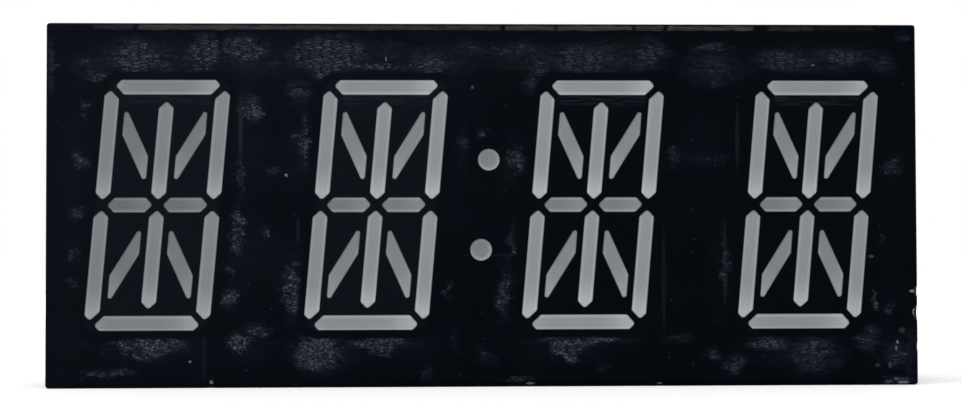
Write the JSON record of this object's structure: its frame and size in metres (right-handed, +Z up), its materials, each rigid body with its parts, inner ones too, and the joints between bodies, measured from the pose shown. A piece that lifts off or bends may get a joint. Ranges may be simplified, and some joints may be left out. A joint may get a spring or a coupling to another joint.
{
  "type": "segmented led display",
  "caption": "Slanted fourteen-segment clock display with a colon, hazy grey light bars in a flat black housing, and two rows of solder pins behind.",
  "frame": {"origin": "centre of the housing's seating rim, at the back", "axes": "+X to the right along the digits as they are read, +Y back along the pins, +Z up"},
  "size_m": [0.0482, 0.0125, 0.02],
  "materials": {
    "black_housing": "satin black moulded plastic, mottled",
    "hazy_resin": "hazy grey cast resin, smooth",
    "led_die": "cut crystal",
    "gold_wire": "drawn gold wire",
    "board_laminate": "glass laminate with a green solder mask",
    "solder": "bright solder",
    "back_resin": "poured hazy resin",
    "tinned_pin": "tinned wire"
  },
  "bodies": {
    "root": {"reflector_housing": "black_housing", "colon_light_dots": "hazy_resin", "colon_led_dies": "led_die", "colon_bond_wires": "gold_wire", "circuit_board": "board_laminate", "solder_fillets": "solder", "back_potting": "back_resin", "digit_1_light_bars": "hazy_resin", "digit_1_led_dies": "led_die", "digit_1_bond_wires": "gold_wire", "digit_2_light_bars": "hazy_resin", "digit_2_led_dies": "led_die", "digit_2_bond_wires": "gold_wire", "digit_3_light_bars": "hazy_resin", "digit_3_led_dies": "led_die", "digit_3_bond_wires": "gold_wire", "digit_4_light_bars": "hazy_resin", "digit_4_led_dies": "led_die", "digit_4_bond_wires": "gold_wire", "pin_01": "tinned_pin", "pin_02": "tinned_pin", "pin_03": "tinned_pin", "pin_04": "tinned_pin", "pin_05": "tinned_pin", "pin_06": "tinned_pin", "pin_07": "tinned_pin", "pin_08": "tinned_pin", "pin_09": "tinned_pin", "pin_10": "tinned_pin", "pin_11": "tinned_pin", "pin_12": "tinned_pin", "pin_13": "tinned_pin", "pin_14": "tinned_pin", "pin_15": "tinned_pin", "pin_16": "tinned_pin", "pin_17": "tinned_pin", "pin_18": "tinned_pin", "pin_19": "tinned_pin", "pin_20": "tinned_pin"}
  },
  "joints": []
}
